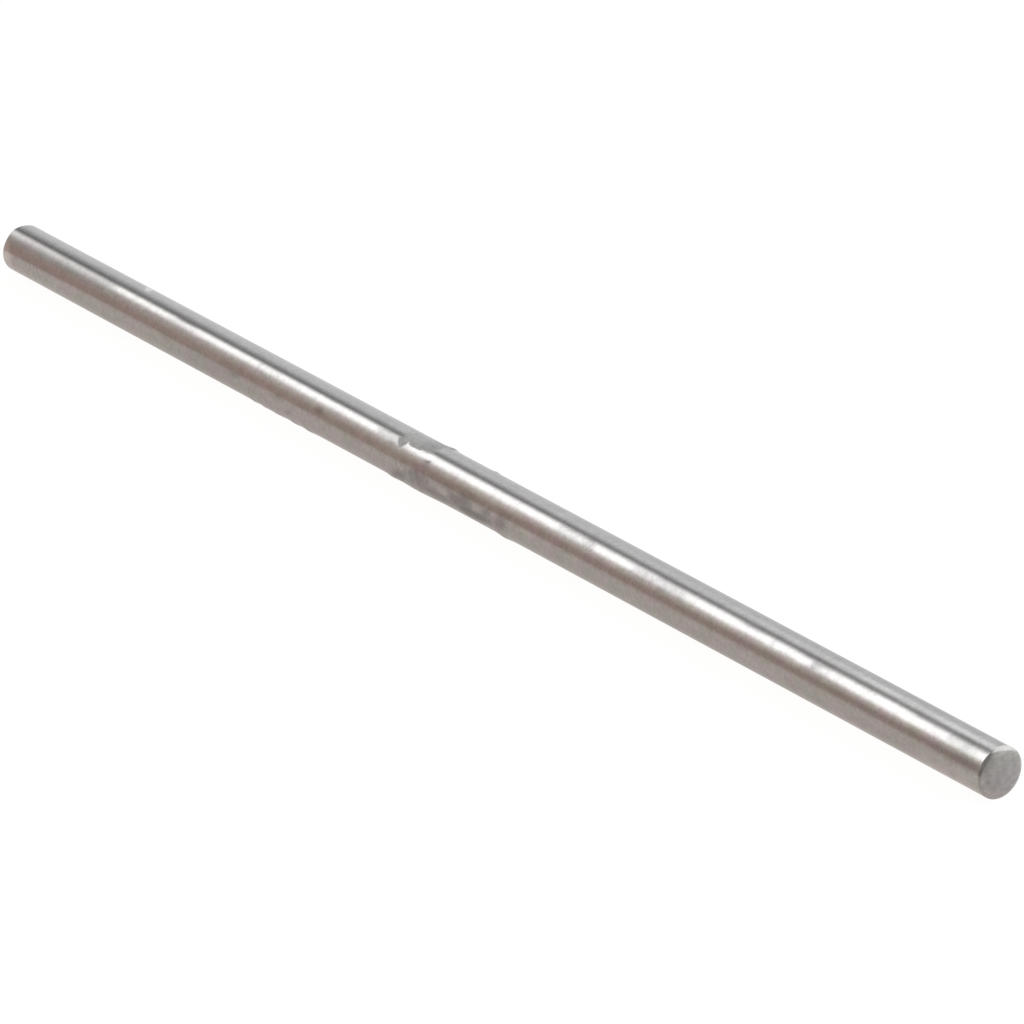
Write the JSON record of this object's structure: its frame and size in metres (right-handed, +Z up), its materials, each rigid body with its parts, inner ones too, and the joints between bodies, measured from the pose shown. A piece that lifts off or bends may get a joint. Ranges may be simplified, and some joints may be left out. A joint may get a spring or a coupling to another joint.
{
  "type": "plug gauge",
  "caption": "Plain cylindrical plug gauge: a slender ground steel pin with flat lapped ends and small lead chamfers, for checking the size of a small hole.",
  "frame": {"origin": "on the pin's axis, halfway between its two end faces", "axes": "+X along the pin's axis, towards the end that the reference view shows; +Y and +Z across it, with +Z up as the pin lies"},
  "size_m": [0.05, 0.0016, 0.0016],
  "materials": {
    "ground_steel": "ground and lapped, satin"
  },
  "bodies": {
    "root": {"gauge_pin": "ground_steel"}
  },
  "joints": []
}
